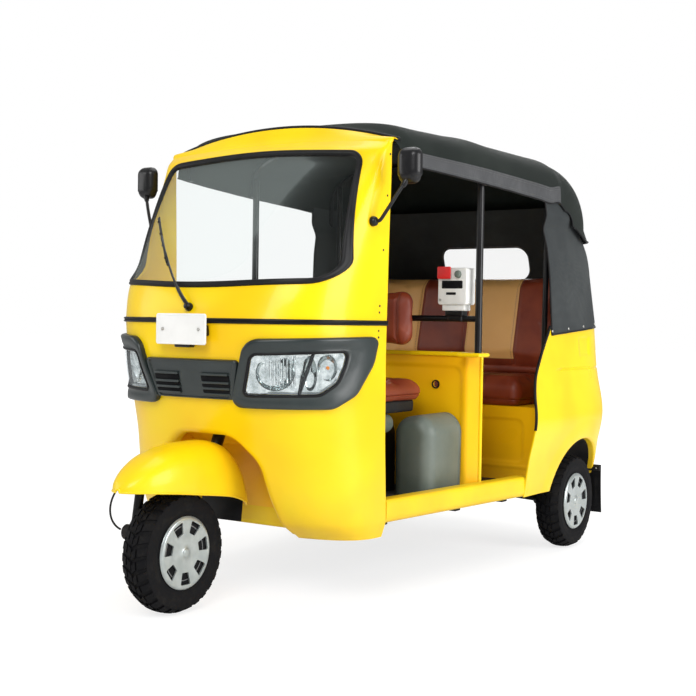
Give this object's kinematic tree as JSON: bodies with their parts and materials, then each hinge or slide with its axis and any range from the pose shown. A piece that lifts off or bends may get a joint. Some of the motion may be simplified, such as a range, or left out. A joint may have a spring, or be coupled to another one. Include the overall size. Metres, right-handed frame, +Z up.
{
  "type": "auto rickshaw",
  "caption": "Yellow passenger auto rickshaw with a single steered front wheel, open-sided cabin, folding canvas hood, bench seat and rear engine lid",
  "frame": {"origin": "on the ground under the middle of the bounding box", "axes": "+X to the vehicle's left, +Y rearward (the front faces -Y), +Z up"},
  "size_m": [1.329, 2.647, 1.74],
  "materials": {
    "body_paint": "gloss",
    "frame_paint": "satin",
    "tube_paint": "gloss",
    "floor_sheet": "matte",
    "rubber": "matte",
    "clear_glass": "gloss",
    "clear_film": "gloss",
    "dark_moulding": "satin",
    "grey_moulding": "satin",
    "reflector": "gloss",
    "lamp_lens": "gloss",
    "red_lens": "gloss",
    "white_plate": "gloss",
    "meter_case": "gloss",
    "leatherette": "satin",
    "panelled_leatherette": "satin",
    "canvas": "matte",
    "casting": "matte",
    "hot_steel": "matte",
    "tyre_rubber": "matte",
    "rim_steel": "satin",
    "cap_silver": "gloss"
  },
  "bodies": {
    "body": {"chassis_frame": "frame_paint", "head_tube": "frame_paint", "floor_pan": "floor_sheet", "side_sills": "body_paint", "wheel_tub": "frame_paint", "front_cowl": "body_paint", "windscreen_frame": "body_paint", "body_beading": "rubber", "windscreen_glass": "clear_glass", "front_fascia": "dark_moulding", "headlamp_reflectors": "reflector", "headlamp_lenses": "lamp_lens", "front_plate": "white_plate", "wiper": "dark_moulding", "mirrors": "dark_moulding", "dashboard": "dark_moulding", "driver_seat_base": "grey_moulding", "under_seat_locker": "grey_moulding", "driver_cushion": "leatherette", "driver_backrest": "leatherette", "partition": "body_paint", "hood_frame": "tube_paint", "fare_meter": "meter_case", "passenger_seat_frame": "body_paint", "passenger_cushion": "leatherette", "passenger_backrest": "panelled_leatherette", "rear_quarters": "body_paint", "tail_panel": "body_paint", "tail_lamps": "red_lens", "mudflaps": "rubber", "hood_roof": "canvas", "hood_rear": "canvas", "rear_window": "clear_film", "engine_block": "casting", "rear_suspension": "frame_paint", "silencer": "hot_steel"},
    "engine_lid": {"engine_lid": "body_paint"},
    "steering": {"steering_fork": "frame_paint", "handlebar": "tube_paint", "front_mudguard": "body_paint", "front_suspension": "frame_paint"},
    "front_wheel": {"front_tyre": "tyre_rubber", "front_rim": "rim_steel", "front_cap": "cap_silver"},
    "rear_left_wheel": {"rear_left_tyre": "tyre_rubber", "rear_left_rim": "rim_steel", "rear_left_cap": "cap_silver"},
    "rear_right_wheel": {"rear_right_tyre": "tyre_rubber", "rear_right_rim": "rim_steel", "rear_right_cap": "cap_silver"}
  },
  "joints": [
    {"name": "steer", "type": "hinge", "parent": "body", "child": "steering", "pos_m": [0, -0.79767, 0.63441], "axis": [0, 0.4226, 0.9063], "range_deg": [-42, 42]},
    {"name": "front_wheel_spin", "type": "hinge", "parent": "steering", "child": "front_wheel", "pos_m": [0, -1.0535, 0.2075], "axis": [1, 0, 0], "continuous": true},
    {"name": "rear_left_wheel_spin", "type": "hinge", "parent": "body", "child": "rear_left_wheel", "pos_m": [0.555, 0.9315, 0.2075], "axis": [1, 0, 0], "continuous": true},
    {"name": "rear_right_wheel_spin", "type": "hinge", "parent": "body", "child": "rear_right_wheel", "pos_m": [-0.555, 0.9315, 0.2075], "axis": [1, 0, 0], "continuous": true},
    {"name": "engine_lid_hinge", "type": "hinge", "parent": "body", "child": "engine_lid", "pos_m": [0, 1.3165, 0.812], "axis": [1, 0, 0], "range_deg": [0, 70]}
  ]
}
